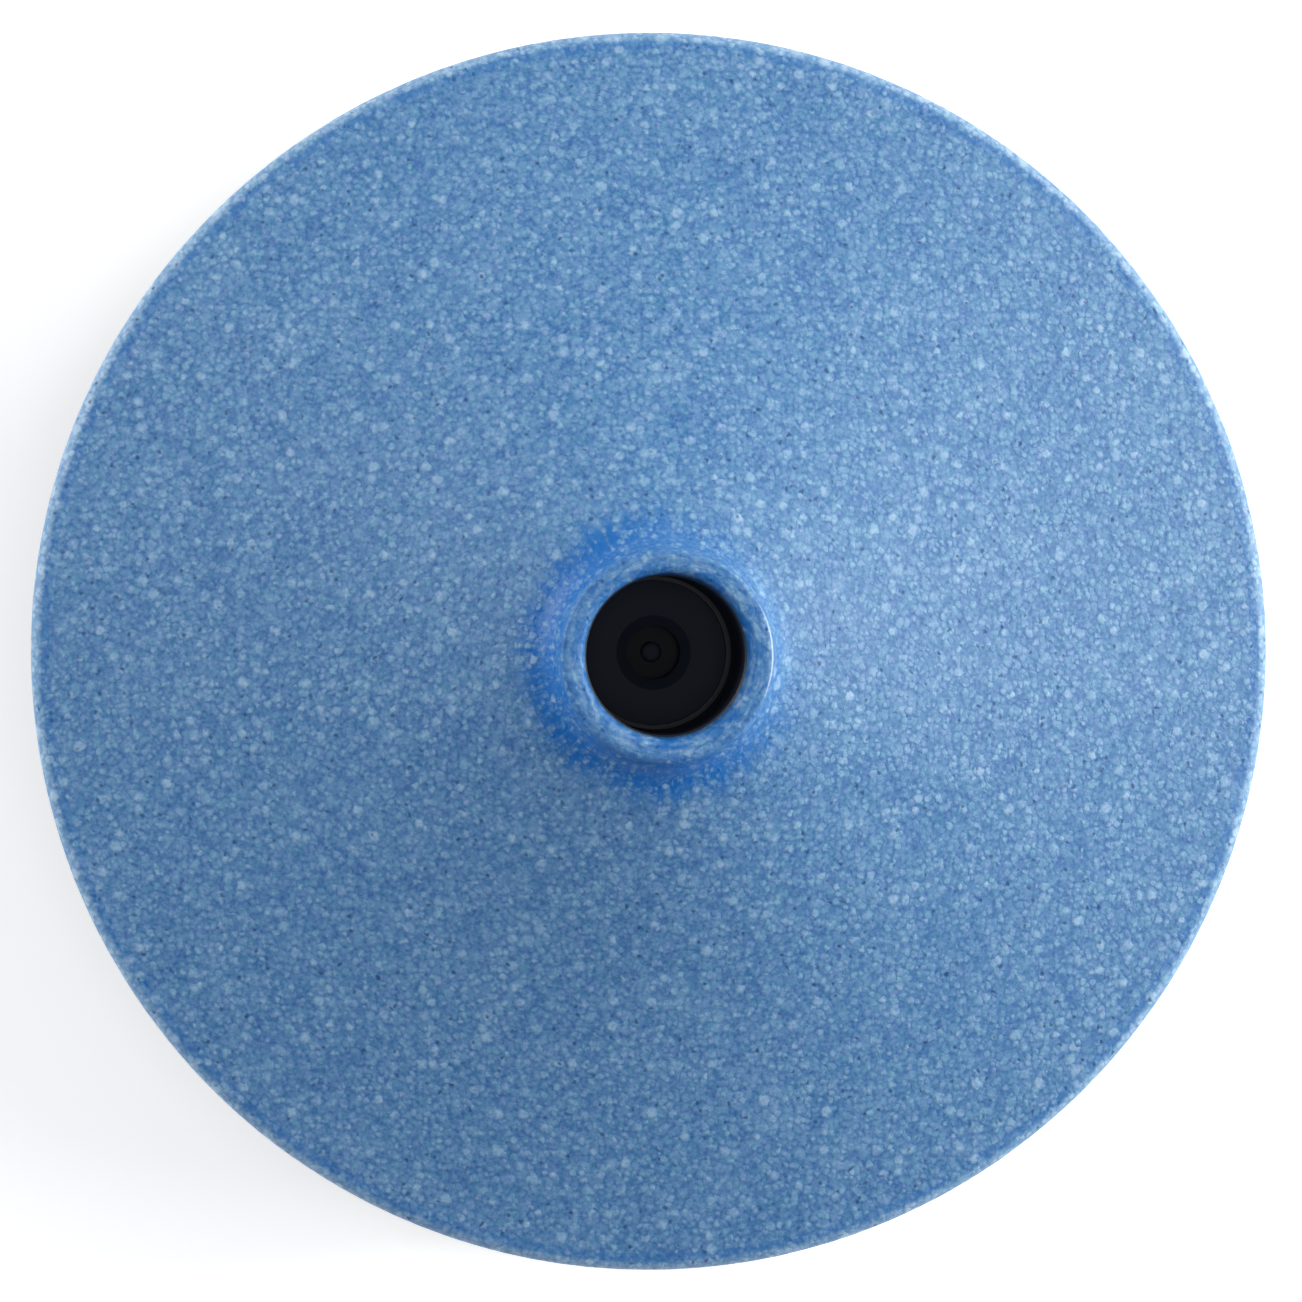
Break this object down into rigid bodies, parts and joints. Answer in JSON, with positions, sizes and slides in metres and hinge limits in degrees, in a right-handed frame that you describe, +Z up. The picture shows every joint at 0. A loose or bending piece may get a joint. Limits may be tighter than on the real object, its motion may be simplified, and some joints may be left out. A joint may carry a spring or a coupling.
{
  "type": "air stone",
  "caption": "Round dome air stone for ponds: a blue bonded-grain cone with a collared hose socket at the apex, on a black weighted base with rubber feet.",
  "frame": {"origin": "on the surface the feet stand on, under the centre of the stone", "axes": "+Z up along the stem's axis, through the hose socket; +X towards foot_1, +Y towards foot_2"},
  "size_m": [0.1, 0.1, 0.0442],
  "materials": {
    "blue_bonded_stone": "bonded pale-blue grains in a deeper blue matrix, fine pores, satin",
    "black_abs": "moulded ABS, fine spark texture",
    "black_acetal": "moulded acetal, smooth satin",
    "black_rubber": "moulded nitrile rubber, matt",
    "epoxy": "cured black epoxy",
    "stainless_steel": "stainless steel, satin",
    "cast_ballast": "cast iron, painted dark grey"
  },
  "bodies": {
    "diffuser": {"porous_stone": "blue_bonded_stone", "inlet_stem": "black_abs", "bond_sleeve": "epoxy", "socket_o_ring": "black_rubber", "valve_seat": "black_acetal", "valve_spring": "stainless_steel", "base_pan": "black_abs", "rim_gasket": "black_rubber", "stem_o_ring": "black_rubber", "nut_washer": "stainless_steel", "stem_nut": "black_acetal", "ballast_ring": "cast_ballast", "cover_gasket": "black_rubber", "ballast_cover": "black_abs", "cover_screws": "stainless_steel", "foot_1": "black_rubber", "foot_2": "black_rubber", "foot_3": "black_rubber", "foot_4": "black_rubber"},
    "valve": {"valve_poppet": "black_acetal", "poppet_seal": "black_rubber"}
  },
  "joints": [
    {"name": "valve_slide", "type": "slide", "parent": "diffuser", "child": "valve", "axis": [0, 0, -1], "range_m": [0, 0.0016], "stiffness_N_per_m": 120, "springref_m": -0.003, "deforming": ["valve_spring"]}
  ]
}
